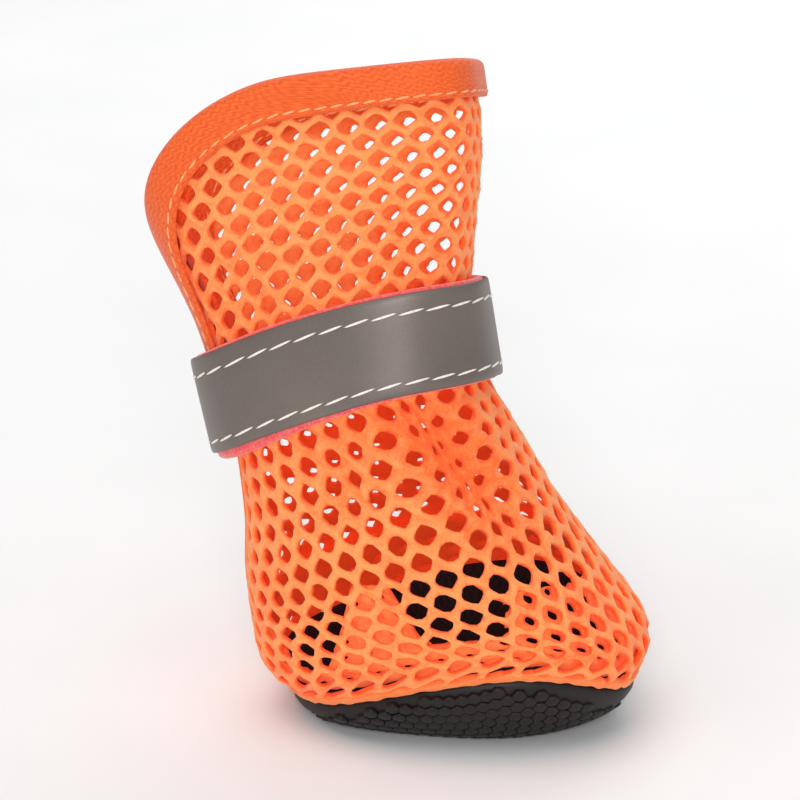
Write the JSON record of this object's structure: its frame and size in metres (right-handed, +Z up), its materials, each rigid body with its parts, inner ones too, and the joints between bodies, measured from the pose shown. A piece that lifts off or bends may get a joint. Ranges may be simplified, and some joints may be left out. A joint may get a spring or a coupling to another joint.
{
  "type": "dog boot",
  "caption": "Soft mesh boot for a dog's paw, with a bound collar slit down the back, a reflective ankle strap and a dished rubber sole.",
  "frame": {"origin": "middle of the flat of the sole, on the floor", "axes": "+X to the toe, +Y to the boot's left, +Z up"},
  "size_m": [0.0787, 0.047, 0.1048],
  "materials": {
    "rubber": "matt, moulded with small round bumps",
    "insole_cloth": "dull black cloth",
    "mesh": "open knitted mesh",
    "binding_tape": "smooth knitted tape",
    "strap_felt": "brushed felt",
    "strap_reflective": "fine-grained reflective cloth"
  },
  "bodies": {
    "root": {"outsole": "rubber", "insole": "insole_cloth", "upper": "mesh", "collar_binding": "binding_tape", "strap_backing": "strap_felt", "strap_face": "strap_reflective"}
  },
  "joints": []
}
